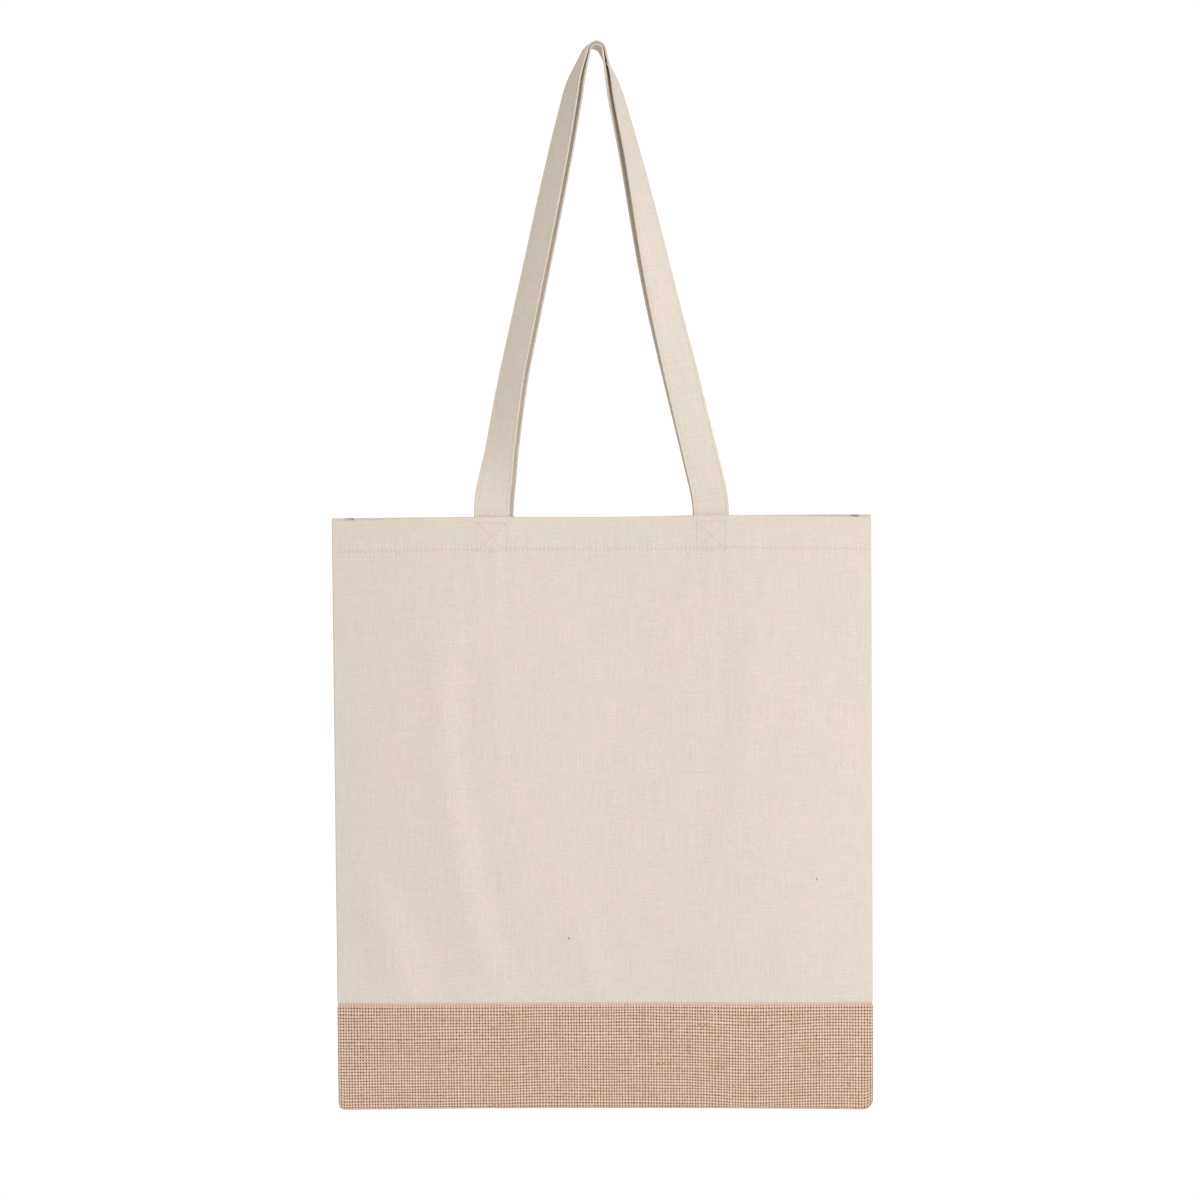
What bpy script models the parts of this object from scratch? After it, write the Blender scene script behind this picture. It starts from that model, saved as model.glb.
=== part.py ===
"""Canvas tote bag with a jute base, hanging by two long handles.

Metres, +Z up, -Y is the front. The origin is where the hook holds the bag: under the top of the back
handle's loop, which lies inside the front handle's. Heights called "up" are measured from the bag's
bottom fold, and "deep" is measured inwards from the bag's outer face.
"""

import math

import bmesh
import bpy
import numpy as np
from mathutils import Vector

# The bag
BAG_WIDTH = 0.380
BAG_HEIGHT = 0.420
BAND_HEIGHT = 0.0745  # jute, from the bottom fold up to the canvas
MOUTH_DEPTH = 0.026  # front to back, outside, at the top edge
BELLY_DEPTH = 0.034  # where the bag is fullest
BELLY_UP = 0.190
BOTTOM_DEPTH = 0.007  # of the bottom fold
SIDE_DEPTH = 0.0053  # of the folded side edges
FLAT_WIDTH = 0.184  # the middle of each wall is flat across, and the sides curve

# The cloth
CANVAS = 0.0005  # one ply
JUTE = 0.0009
SEAM_ALLOWANCE = 0.010
HEM_HEIGHT = 0.025
HEM_TURN = 0.010  # raw edge turned under inside the hem
HEM_PITCH = 0.0006  # from one ply of the hem to the next
HEM_END = 0.012  # the hem's inner plies stop this far from the side edges

# The handles
HANDLE_LENGTH = 0.694  # from top edge to top edge, over the hook
HANDLE_WIDTH = 0.025
HANDLE_THICKNESS = 0.0016  # four plies, pressed
HANDLE_SPACING = 0.154  # between the centres of a handle's legs
HANDLE_TAIL = 0.029  # sewn inside the top edge
HANDLE_EASE = 0.100  # radius of the curve by which a leg leaves the hem
HOOK_BEND = 0.0075  # radius at the top of the front handle's loop
NEST_GAP = 0.0020  # between the two handles at the hook
BACK_SHIFT = 0.0024  # the back handle's left leg is sewn this far nearer the middle
TWIST_START = 0.009  # a leg stays flat this far above the top edge, then turns edge on
TWIST_POWER = 0.6  # under 1, more of the turn is near the hook

# The threads
THREAD = 0.0004
EDGE_STITCH = 0.0022  # from a handle's edge to its stitching
EDGE_STITCH_START = 0.012  # above the top edge
HEM_STITCH = 0.0235  # below the top edge
BOX_SIZE = 0.0215  # crossed box stitch that holds a handle's end
BOX_TOP = 0.004  # below the top edge
BOX_LINE = 0.0006
OVERLOCK_REACH = 0.0035  # how far the overlock covers the seam allowance
OVERLOCK_START = 0.014
GAP = 0.0003  # between pieces that touch

SWING_CLEARANCE = 0.0005  # the free loop starts this far above the top edge
FOLD_STEPS = 4  # segments round a tight fold
TWIST_STEPS = 20
SIDE_STATIONS = 5
WALL_ROWS = 9

MOUTH_HALF = MOUTH_DEPTH / 2
SIDE_HALF = SIDE_DEPTH / 2
HEM_THICKNESS = CANVAS + 2 * HEM_PITCH
NEST = HANDLE_THICKNESS + NEST_GAP
HANDLE_DEEP = HEM_THICKNESS + GAP + HANDLE_THICKNESS / 2  # the middle of a handle's end

CREAM = (0.80, 0.70, 0.58)
JUTE_TAN = (0.58, 0.40, 0.28)
THREAD_WHITE = (0.86, 0.80, 0.70)


def material(name, colour, roughness):
    made = bpy.data.materials.new(name)
    made.use_nodes = True
    shader = made.node_tree.nodes["Principled BSDF"]
    shader.inputs["Base Color"].default_value = (*colour, 1)
    shader.inputs["Roughness"].default_value = roughness
    shader.inputs["Metallic"].default_value = 0
    return made


def clear_scene():
    for found in list(bpy.data.objects):
        bpy.data.objects.remove(found)


def finished(name, data, finish):
    data.materials.append(finish)
    made = bpy.data.objects.new(name, data)
    bpy.context.scene.collection.objects.link(made)
    return made


def sheet(name, rows, thickness, finish):
    """Cloth of one thickness. rows is a list of rows of points, with None where the cloth is cut away."""
    mesh = bmesh.new()
    grid = [[p and mesh.verts.new(p) for p in row] for row in rows]
    for low, high in zip(grid, grid[1:]):
        for corners in zip(low, low[1:], high[1:], high):
            if all(corners):
                mesh.faces.new(corners)
    data = bpy.data.meshes.new(name)
    mesh.to_mesh(data)
    mesh.free()
    made = finished(name, data, finish)
    solid = made.modifiers.new("cloth", "SOLIDIFY")
    solid.thickness = thickness
    solid.offset = 0
    return made


def thread(name, points, finish, cyclic=False):
    data = bpy.data.curves.new(name, "CURVE")
    data.dimensions = "3D"
    data.bevel_depth = THREAD / 2
    data.bevel_resolution = 0
    data.use_fill_caps = True
    line = data.splines.new("POLY")
    line.points.add(len(points) - 1)
    for point, place in zip(line.points, points):
        point.co = (*place, 1)
    line.use_cyclic_u = cyclic
    return finished(name, data, finish)


# --- The shape of the bag -------------------------------------------------------------------------


def middle_half(up):
    """Half the bag's outer depth along its middle, at a height above the bottom fold."""
    bottom, belly = BOTTOM_DEPTH / 2, BELLY_DEPTH / 2
    if up <= BELLY_UP:
        return bottom + (belly - bottom) * math.sin(math.pi / 2 * up / BELLY_UP)
    share = (up - BELLY_UP) / (BAG_HEIGHT - BELLY_UP)
    return MOUTH_HALF + (belly - MOUTH_HALF) * (1 + math.cos(math.pi * share)) / 2


def outer_half(x, up, x_end):
    """Half the bag's outer depth at any place: flat in the middle, curving in to the side edges."""
    flat = FLAT_WIDTH / 2
    share = max(0.0, (abs(x) - flat) / (x_end - flat))
    return SIDE_HALF + (middle_half(up) - SIDE_HALF) * (1 - share**2)


def side_fold(ply):
    """(x where the fold begins, its radius, y of the seam allowance's middle) for cloth of this ply."""
    allowance_y = (ply + GAP) / 2
    radius = (SIDE_HALF - ply / 2 - allowance_y) / 2
    return BAG_WIDTH / 2 - ply / 2 - radius, radius, allowance_y


def side_column(ply):
    """(x, half depth) from the seam allowance's raw edge round the side fold, on the right."""
    x_end, radius, allowance_y = side_fold(ply)
    column = [(BAG_WIDTH / 2 - SEAM_ALLOWANCE, allowance_y)]
    for step in range(FOLD_STEPS):
        turn = math.pi * step / FOLD_STEPS
        column.append((x_end + radius * math.sin(turn), allowance_y + radius * (1 - math.cos(turn))))
    return column


def wall_stations(ply):
    """x across a wall, from the left side fold to the right one."""
    hem_x = BAG_WIDTH / 2 - HEM_END - ply
    right = [*np.linspace(FLAT_WIDTH / 2, hem_x, SIDE_STATIONS), side_fold(ply)[0]]
    return [-x for x in reversed(right)] + right


def raised(points, z_top):
    """Points given as (x, y, up) in the bag's frame, moved to where the bag hangs."""
    return [p and Vector((p[0], p[1], p[2] - BAG_HEIGHT + z_top)) for p in points]


def across(ply, face, up, deep, whole):
    """One row of cloth across the front (face -1) or back (+1) wall. Only a whole row has side seams."""
    stations, x_end = wall_stations(ply), side_fold(ply)[0]
    wall = [(x, face * (outer_half(x, up, x_end) - deep), up) for x in stations]
    side = side_column(ply)
    if not whole:
        blank = [None] * (len(side) + 1)
        return blank + wall[1:-1] + blank
    left = [(-x, face * y, up) for x, y in side]
    right = [(x, face * y, up) for x, y in reversed(side)]
    return left + wall + right


def turn(start_up, start_deep, radius, upwards, steps=FOLD_STEPS):
    """(up, deep) round a half turn of cloth, without its first point. A turn at the top goes inwards."""
    rows = []
    for step in range(1, steps + 1):
        angle = math.pi * step / steps
        rise = radius * math.sin(angle)
        shift = radius * (1 - math.cos(angle))
        if upwards:
            rows.append((start_up + rise, start_deep + shift))
        else:
            rows.append((start_up - rise, start_deep - shift))
    return rows


def canvas_wall(name, face, z_top, finish):
    """One canvas panel, with its seam allowances and its twice-turned hem, all one piece of cloth."""
    ply = CANVAS
    fold = HEM_PITCH  # radius at the top edge
    fold_up = BAG_HEIGHT - fold - ply / 2
    # One row lies at the top of the jute behind it, so that both walls bend alike.
    ups = [BAND_HEIGHT + GAP, *np.linspace(BAND_HEIGHT + SEAM_ALLOWANCE, fold_up, WALL_ROWS)]
    rows = [across(ply, face, up, ply / 2, whole=True) for up in ups]
    hem_low = BAG_HEIGHT - HEM_HEIGHT + ply
    inner = ply / 2 + 2 * HEM_PITCH
    hem = turn(fold_up, ply / 2, fold, upwards=True)
    hem.append((hem_low, inner))
    hem += turn(hem_low, inner, HEM_PITCH / 2, upwards=False, steps=3)
    hem.append((hem_low + HEM_TURN, ply / 2 + HEM_PITCH))
    rows += [across(ply, face, up, deep, whole=False) for up, deep in hem]
    return sheet(name, [raised(row, z_top) for row in rows], ply, finish)


def jute_wall_rows(face):
    """The jute band's rows on one side, from the top of its seam allowance down to the bottom fold."""
    ply = JUTE
    tucked = CANVAS + GAP + ply / 2  # behind the canvas
    rows = [
        across(ply, face, BAND_HEIGHT + SEAM_ALLOWANCE, tucked, whole=False),
        across(ply, face, BAND_HEIGHT - GAP, tucked, whole=False),
    ]
    for up in np.linspace(BAND_HEIGHT - 2 * ply, BOTTOM_DEPTH, 4):
        rows.append(across(ply, face, up, ply / 2, whole=True))
    return rows


def jute_bottom_rows():
    """The jute's rows round the bottom fold, from front to back."""
    ply = JUTE
    x_end = side_fold(ply)[0]
    side = side_column(ply)
    columns = [(-x, y, SIDE_HALF) for x, y in side]
    for x in wall_stations(ply):
        half = outer_half(x, 0, x_end)
        columns.append((x, half - ply / 2, half))
    columns += [(x, y, SIDE_HALF) for x, y in reversed(side)]
    rows = []
    steps = 2 * FOLD_STEPS
    for step in range(steps + 1):
        angle = math.pi * step / steps
        rows.append([(x, -r * math.cos(angle), up - r * math.sin(angle)) for x, r, up in columns])
    return rows


def jute_band(z_top, finish):
    """One strip of jute, folded under the bag, with its seam allowances tucked behind the canvas."""
    rows = jute_wall_rows(-1) + jute_bottom_rows() + list(reversed(jute_wall_rows(+1)))
    return sheet("jute_band", [raised(row, z_top) for row in rows], JUTE, finish)


# --- The handles ----------------------------------------------------------------------------------


def leg_lean():
    """The angle from upright at which a leg runs straight to the hook, for the handle's length."""

    def closes(lean):
        """How far the leg's straight run ends short of the bend over the hook."""
        straight = HANDLE_LENGTH / 2 - HANDLE_EASE * lean - HOOK_BEND * (math.pi / 2 - lean)
        reach = HANDLE_EASE * (1 - math.cos(lean)) + straight * math.sin(lean)
        return HANDLE_SPACING / 2 - reach - HOOK_BEND * math.cos(lean)

    low, high = 0.0, math.pi / 3
    for _ in range(50):
        middle = (low + high) / 2
        low, high = (middle, high) if closes(middle) > 0 else (low, middle)
    return (low + high) / 2


def leg_point(s, lean):
    """(distance in from the leg's foot, height above the top edge, angle from upright) at a length s."""
    half = HANDLE_LENGTH / 2
    ease_end = HANDLE_EASE * lean
    bend_start = half - HOOK_BEND * (math.pi / 2 - lean)
    if s <= ease_end:
        a = s / HANDLE_EASE
        return HANDLE_EASE * (1 - math.cos(a)), HANDLE_EASE * math.sin(a), a
    across_ease, up_ease = HANDLE_EASE * (1 - math.cos(lean)), HANDLE_EASE * math.sin(lean)
    run = min(s, bend_start) - ease_end
    inwards = across_ease + run * math.sin(lean)
    height = up_ease + run * math.cos(lean)
    if s <= bend_start:
        return inwards, height, lean
    a = lean + (s - bend_start) / HOOK_BEND
    inwards += HOOK_BEND * (math.cos(lean) - math.cos(a))
    height += HOOK_BEND * (math.sin(a) - math.sin(lean))
    return inwards, height, a


def level_length(lean):
    """Length from a leg's foot to where the loop lies level on the hook, a facet across its very top."""
    return HANDLE_LENGTH / 2 - HOOK_BEND * (math.pi / 2 - lean) / 8


def handle_rise(lean):
    """Height of the front loop's middle thickness, where it lies level, above the bag's top edge."""
    return leg_point(level_length(lean), lean)[1]


def foot(face, side):
    """(x, y) of the middle of a leg's end. face is -1 in front and side is -1 on the left."""
    shift = BACK_SHIFT if (face, side) == (1, -1) else 0.0
    return side * HANDLE_SPACING / 2 + shift, face * (MOUTH_HALF - HANDLE_DEEP)


def handle_frames(face, lean, z_top, start):
    """(place, inner edge's direction, front face's direction) along a handle, from left leg to right.

    Both handles turn their inner edges to the front, and the back one ends up inside the front one.
    """
    bend_start = HANDLE_LENGTH / 2 - HOOK_BEND * (math.pi / 2 - lean)
    level = level_length(lean)
    # Stations are even steps of twist, so they crowd together near the hook.
    left_to_turn = np.linspace(1, 0, TWIST_STEPS + 1)
    twisting = bend_start - (bend_start - TWIST_START) * left_to_turn ** (1 / TWIST_POWER)
    stations = [start, *twisting, *np.linspace(bend_start, level, 4)[1:]]
    nest = NEST if face > 0 else 0.0
    front = Vector((0, -1, 0))
    legs = []
    for side in (-1, 1):
        foot_x, foot_y = foot(face, side)
        leg = []
        for s in stations:
            inwards, height, angle = leg_point(s, lean)
            share = min(1.0, max(0.0, (s - TWIST_START) / (bend_start - TWIST_START)))
            twist = math.pi / 2 * (1 - (1 - share) ** TWIST_POWER)
            # A foot that is sewn on off its place draws its leg back to the hook in a straight line.
            x = side * (HANDLE_SPACING / 2 - inwards) + (foot_x - side * HANDLE_SPACING / 2) * (1 - share)
            upright = math.pi / 2 - angle
            if s == level:
                upright = 0.0
            outwards = Vector((side * math.sin(upright), 0, math.cos(upright)))
            place = Vector((x, foot_y * (1 - share), z_top + height)) - outwards * nest * share
            normal = front * math.cos(twist) + outwards * math.sin(twist)
            inner = front * math.sin(twist) - outwards * math.cos(twist)
            leg.append((place, inner, normal))
        legs.append(leg)
    return legs[0] + list(reversed(legs[1]))


def handle_loop(name, face, lean, z_top, finish):
    rows = []
    for place, inner, _ in handle_frames(face, lean, z_top, SWING_CLEARANCE):
        rows.append([place + inner * HANDLE_WIDTH * share for share in (-0.5, -0.25, 0, 0.25, 0.5)])
    return sheet(name, rows, HANDLE_THICKNESS, finish)


def handle_end(name, face, side, z_top, finish):
    """The end of a handle, sewn flat behind the hem."""
    x, y = foot(face, side)
    half = HANDLE_WIDTH / 2
    rows = []
    for below in (HANDLE_TAIL, GAP - SWING_CLEARANCE):
        rows.append([Vector((x - half, y, z_top - below)), Vector((x + half, y, z_top - below))])
    return sheet(name, rows, HANDLE_THICKNESS, finish)


def edge_stitch(name, face, lean, z_top, edge, finish):
    """Thread along one edge (+1 inner, -1 outer) of a handle's front face, the upper one at the hook."""
    off = HANDLE_THICKNESS / 2 + GAP + THREAD / 2
    reach = edge * (HANDLE_WIDTH / 2 - EDGE_STITCH)
    frames = handle_frames(face, lean, z_top, EDGE_STITCH_START)
    kept = [f for f in frames if f[0].z >= z_top + EDGE_STITCH_START - GAP]
    return thread(name, [place + inner * reach + normal * off for place, inner, normal in kept], finish)


# --- The threads on the bag -----------------------------------------------------------------------


def hem_stitch(z_top, finish):
    """The thread that closes the hem, all round the mouth."""
    up = BAG_HEIGHT - HEM_STITCH
    off = GAP + THREAD / 2
    x_end, fold, allowance_y = side_fold(CANVAS)
    corner = fold + CANVAS / 2 + off
    quarter = []
    for angle in np.linspace(math.pi / 2, 0, FOLD_STEPS + 1):
        quarter.append((x_end + corner * math.sin(angle), allowance_y + fold + corner * math.cos(angle)))
    half = [(-x, y) for x, y in quarter]
    half += [(x, outer_half(x, up, x_end) + off) for x in wall_stations(CANVAS)[1:-1]]
    half += reversed(quarter)
    ring = [(x, -y, up) for x, y in half] + [(x, y, up) for x, y in reversed(half)]
    return thread("hem_stitch", raised(ring, z_top), finish, cyclic=True)


def box_stitch(name, face, side, z_top, finish):
    """A square of stitching with a cross in it, through the hem and a handle's end."""
    half, line = BOX_SIZE / 2, BOX_LINE
    inside = half - line
    base = inside - line / math.sqrt(2)
    tip = line / math.sqrt(2)
    mesh = bmesh.new()

    def turned(x, z, quarter):
        for _ in range(quarter):
            x, z = -z, x
        return mesh.verts.new((x, 0, z))

    corners = [turned(half, half, q) for q in range(4)]
    holes = [[turned(base, inside, q), turned(0, tip, q), turned(-base, inside, q)] for q in range(4)]
    centre = mesh.verts.new((0, 0, 0))
    for q in range(4):
        after = (q + 1) % 4
        right, point, left = holes[q]
        mesh.faces.new((corners[q], right, left, corners[after]))
        mesh.faces.new((corners[after], left, point, centre, holes[after][1], holes[after][0]))
    data = bpy.data.meshes.new(name)
    mesh.to_mesh(data)
    mesh.free()
    made = finished(name, data, finish)
    solid = made.modifiers.new("thread", "SOLIDIFY")
    solid.thickness = THREAD
    solid.offset = 0
    centre_up = BAG_HEIGHT - BOX_TOP - half
    # It crosses over the hem's thread.
    off = 2 * GAP + THREAD + THREAD / 2
    y = face * (middle_half(BAG_HEIGHT - BOX_TOP - BOX_SIZE) + off)
    made.location = (foot(face, side)[0], y, z_top - BAG_HEIGHT + centre_up)
    return made


def band_thread(name, face, z_top, finish):
    """The seam that joins canvas and jute, on the inside of the bag."""
    up = BAND_HEIGHT + SEAM_ALLOWANCE / 2
    deep = CANVAS + GAP + JUTE + GAP + THREAD / 2
    x_end = side_fold(JUTE)[0]
    points = []
    for x in wall_stations(JUTE)[1:-1]:
        points.append((x * 0.98, face * (outer_half(x * 0.98, up, x_end) - deep), up))
    return thread(name, raised(points, z_top), finish)


def overlock(name, side, z_top, finish):
    """The thread that wraps the raw edges of a side seam, inside the bag."""
    tip = BAG_WIDTH / 2 - SEAM_ALLOWANCE
    inner_y = GAP / 2 + JUTE + GAP
    outer_y = inner_y + THREAD
    reach = tip + OVERLOCK_REACH
    outline = [
        (reach, inner_y),
        (reach, outer_y),
        (tip - GAP - THREAD, outer_y),
        (tip - GAP - THREAD, -outer_y),
        (reach, -outer_y),
        (reach, -inner_y),
        (tip - GAP, -inner_y),
        (tip - GAP, inner_y),
    ]
    mesh = bmesh.new()
    low = z_top - BAG_HEIGHT + OVERLOCK_START
    face = mesh.faces.new([mesh.verts.new((side * x, y, low)) for x, y in outline])
    grown = bmesh.ops.extrude_face_region(mesh, geom=[face])
    length = BAG_HEIGHT - HEM_HEIGHT - GAP - OVERLOCK_START
    moved = [v for v in grown["geom"] if isinstance(v, bmesh.types.BMVert)]
    bmesh.ops.translate(mesh, verts=moved, vec=(0, 0, length))
    bmesh.ops.recalc_face_normals(mesh, faces=mesh.faces)
    data = bpy.data.meshes.new(name)
    mesh.to_mesh(data)
    mesh.free()
    return finished(name, data, finish)


def main():
    clear_scene()
    cream = material("canvas", CREAM, 0.9)
    strap = material("handle_canvas", CREAM, 0.85)
    tan = material("jute", JUTE_TAN, 0.95)
    white = material("thread", THREAD_WHITE, 0.7)
    lean = leg_lean()
    z_top = HANDLE_THICKNESS / 2 + NEST - handle_rise(lean)
    jute_band(z_top, tan)
    for word, face in (("front", -1), ("back", 1)):
        canvas_wall(f"{word}_canvas_panel", face, z_top, cream)
        band_thread(f"{word}_band_seam_thread", face, z_top, white)
        handle_loop(f"{word}_handle_loop", face, lean, z_top, strap)
        edge_stitch(f"{word}_handle_inner_stitch", face, lean, z_top, +1, white)
        edge_stitch(f"{word}_handle_outer_stitch", face, lean, z_top, -1, white)
        for hand, side in (("left", -1), ("right", 1)):
            handle_end(f"{word}_handle_{hand}_end", face, side, z_top, strap)
            box_stitch(f"{word}_{hand}_box_stitch", face, side, z_top, white)
    hem_stitch(z_top, white)
    overlock("left_overlock_thread", -1, z_top, white)
    overlock("right_overlock_thread", 1, z_top, white)


main()
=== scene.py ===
"""The looks of a canvas tote bag with a jute base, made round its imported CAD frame.

Metres, +Z up, -Y is the front. "Up" is a height above the bag's bottom fold, "deep" is measured
inwards from the bag's outer face, and u runs across the cloth from the bag's middle.
"""

import math

import bpy
import numpy as np
from mathutils import Matrix, Vector


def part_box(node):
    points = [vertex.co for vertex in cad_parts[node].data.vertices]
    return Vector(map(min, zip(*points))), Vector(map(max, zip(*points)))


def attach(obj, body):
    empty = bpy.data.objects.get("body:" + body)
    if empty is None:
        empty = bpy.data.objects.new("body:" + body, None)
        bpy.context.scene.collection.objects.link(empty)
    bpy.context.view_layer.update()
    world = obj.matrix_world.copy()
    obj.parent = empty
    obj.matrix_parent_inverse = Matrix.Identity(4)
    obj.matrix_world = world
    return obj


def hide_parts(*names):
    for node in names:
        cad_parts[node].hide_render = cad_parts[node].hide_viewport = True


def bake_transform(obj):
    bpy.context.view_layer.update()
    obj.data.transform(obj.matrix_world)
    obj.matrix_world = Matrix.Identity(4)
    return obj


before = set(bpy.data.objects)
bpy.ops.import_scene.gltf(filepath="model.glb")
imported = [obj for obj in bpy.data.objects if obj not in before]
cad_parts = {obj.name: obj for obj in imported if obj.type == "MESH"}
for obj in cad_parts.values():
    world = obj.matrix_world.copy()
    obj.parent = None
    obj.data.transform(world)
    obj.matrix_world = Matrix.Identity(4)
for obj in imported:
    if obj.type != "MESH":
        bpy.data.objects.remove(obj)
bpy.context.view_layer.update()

# --- Sizes that the frame gives -------------------------------------------------------------------

panel_low, panel_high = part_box("front_canvas_panel")
band_low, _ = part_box("jute_band")
end_low, end_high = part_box("front_handle_left_end")
back_end_low, back_end_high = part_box("back_handle_left_end")
box_low, box_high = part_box("front_left_box_stitch")
hem_thread_low, hem_thread_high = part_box("hem_stitch")
overlock_low, overlock_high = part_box("right_overlock_thread")
_, loop_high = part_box("front_handle_loop")
_, back_loop_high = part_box("back_handle_loop")

TOP = panel_high.z
BOTTOM = band_low.z
HEIGHT = TOP - BOTTOM
HALF_WIDTH = panel_high.x
SEAM = panel_low.z - BOTTOM
BELLY_HALF = panel_high.y - panel_low.y + 0.00015
STRAP_WIDTH = end_high.x - end_low.x
STRAP_THICKNESS = end_high.y - end_low.y
STRAP_TAIL = TOP - end_low.z
STRAP_X = -(end_low.x + end_high.x) / 2
STRAP_Y = -(end_low.y + end_high.y) / 2
BACK_SHIFT = (back_end_low.x + back_end_high.x) / 2 + STRAP_X
BOX_SIZE = box_high.x - box_low.x
BOX_UP = (box_low.z + box_high.z) / 2 - BOTTOM
HEM_LINE = (hem_thread_low.z + hem_thread_high.z) / 2 - BOTTOM
LOOP_TOP = loop_high.z - STRAP_THICKNESS / 2
# The back handle's loop lies this far inside the front one's, closer than in the plain solids.
NEST = loop_high.z - back_loop_high.z - 0.0009

# --- Sizes that the frame doesn't give ------------------------------------------------------------

MOUTH_HALF = 0.013  # half the depth, front to back, at the top edge
BELLY_UP = 0.190  # where the bag is fullest
BOTTOM_HALF = 0.0035
SIDE_HALF = 0.00265
FLAT_HALF = 0.092  # the middle of each wall is flat across
FOLD_R = 0.00125  # of the cloth round the side seam's edge
FOLD_X = HALF_WIDTH - FOLD_R
FOLD_Y = 0.0014  # the fold's centre lies this far from the bag's middle
ALLOWANCE = 0.010
TAPER = 0.0018  # the bag is this much narrower at the bottom, each side
SKEW = 0.007  # and its bottom fold slopes this much, so that it hangs level when the rest is tilted
CORNER_SAG = 0.0012  # its bottom corners hang this much lower than its middle
BOTTOM_RISE = 0.0022  # the hanging cloth is drawn up this much at the bottom fold
SEAM_RISE = 0.0031  # and this much at the seam between canvas and jute
CORNER_LEFT = 0.0045  # radius of the bottom corners
CORNER_RIGHT = 0.0075

CANVAS = 0.0005  # one ply
JUTE = 0.0009
HEM_HEIGHT = 0.025
HEM_TURN = 0.010  # raw edge turned under inside the hem
HEM_PITCH = 0.0006  # from one ply of the hem to the next
HEM_END = 0.012  # the hem's inner plies stop this far from the side edges
CANVAS_CELL = 0.0026  # of the canvas panels' meshes
WARP_PITCH = 0.00200  # from one upright jute yarn to the next
WEFT_PITCH = 0.00208
WARP_SAMPLES = 4  # points across each yarn
WEFT_SAMPLES = 3
YARN_RELIEF = 0.00034
SKIN_BACK = 0.00050  # the woven skin's plain back lies this deep

EASE = 0.100  # radius of the curve by which a leg leaves the hem
HOOK_BEND = 0.0062  # radius at the top of the loops
HOOK_DROP = 0.0026  # the loops sit this much lower than the plain solids
HOOK_YAW = -0.14  # the loops lie askew on their hook
HOOK_X = -0.0026  # and hang this far off the bag's middle
LEFT_BOW = 0.0045  # the left legs bow outwards by this much
RIGHT_BOW = 0.0030  # the right legs bow outwards too, but only near the hook
NEST_GAP = 0.0011  # the two handles hang this far apart, closing up on the hook
# How far each leg has turned, in degrees, at shares of its length: the left one turns sooner.
LEFT_TURN = ((0.01, 0), (0.12, 33), (0.30, 46), (0.65, 54), (0.77, 60), (0.89, 71), (0.985, 90))
RIGHT_TURN = ((0.03, 0), (0.13, 10), (0.31, 17), (0.55, 37), (0.73, 55), (0.89, 67), (0.985, 90))
TURN_BLUR = 0.02  # share of a leg's length over which each change of turn is eased

# Soft folds in each panel: start and end as (x, up), bow, width and height.
FRONT_FOLDS = (
    ((-0.104, 0.335), (-0.071, 0.090), 0.012, 0.010, 0.0012),
    ((-0.176, 0.185), (-0.128, 0.078), -0.006, 0.014, 0.0014),
    ((-0.012, 0.150), (0.006, 0.076), 0.004, 0.009, 0.0007),
    ((0.094, 0.350), (0.070, 0.170), -0.008, 0.011, -0.0007),
    ((0.150, 0.190), (0.120, 0.080), 0.006, 0.013, -0.0006),
)
BACK_FOLDS = (
    ((0.100, 0.340), (0.055, 0.110), 0.014, 0.012, 0.0011),
    ((-0.090, 0.330), (-0.120, 0.090), -0.010, 0.013, -0.0010),
    ((0.020, 0.200), (-0.010, 0.080), 0.006, 0.012, 0.0008),
)

THREAD_R = 0.00019
THREAD_SIDES = 6
EDGE_STITCH = 0.0022  # from a handle's edge to its stitching
STITCH = 0.0027
BOX_STITCH = 0.0025
HEM_STITCH_LENGTH = 0.0030

CANVAS_CREAM = (0.770, 0.718, 0.640)
# The jute's colours carry painted shade: a warp is darker where it dips between two wefts, a weft is its
# own tan darkened where it lies low between warps, and the holes are near-black painted shade.
JUTE_WARP = (0.790, 0.590, 0.465)
JUTE_DIP_SHADE = (0.650, 0.470, 0.360)  # a warp where it passes between two wefts
JUTE_WEFT_SHADED = (0.660, 0.480, 0.365)
JUTE_HOLE_SHADE = (0.020, 0.008, 0.005)

CAMERA_AWAY = 2.7
CAMERA_AIM = (-0.0015, 0.0, -0.3903)
CAMERA_ROLL = math.radians(0.43)
VIEW_SIZE = 0.8455  # height and width of the view at the bag
FLOOR_Z = -1.2
FLOOR_R = 2.2

rng = np.random.default_rng(7)


# --- Meshes ---------------------------------------------------------------------------------------


def new_object(name, data):
    made = bpy.data.objects.new(name, data)
    bpy.context.scene.collection.objects.link(made)
    return made


def new_mesh(name, points, faces, uvs=None, attributes=None):
    """An object from points and faces. uvs has one pair per point, and so does each attribute."""
    mesh = bpy.data.meshes.new(name)
    mesh.from_pydata(np.asarray(points, float).tolist(), [], faces)
    mesh.update()
    if uvs is not None:
        layer = mesh.uv_layers.new(name="UVMap")
        index = np.empty(len(mesh.loops), np.int32)
        mesh.loops.foreach_get("vertex_index", index)
        layer.data.foreach_set("uv", np.asarray(uvs, np.float32)[index].ravel())
    for key, values in (attributes or {}).items():
        made = mesh.attributes.new(key, "FLOAT", "POINT")
        made.data.foreach_set("value", np.asarray(values, np.float32))
    mesh.shade_smooth()
    return new_object(name, mesh)


def grid_normals(points):
    """Unit normals of a grid of points [row, column, 3]."""
    along = np.gradient(points, axis=1)
    up = np.gradient(points, axis=0)
    normal = np.cross(along, up)
    return normal / np.maximum(np.linalg.norm(normal, axis=2, keepdims=True), 1e-12)


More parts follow.
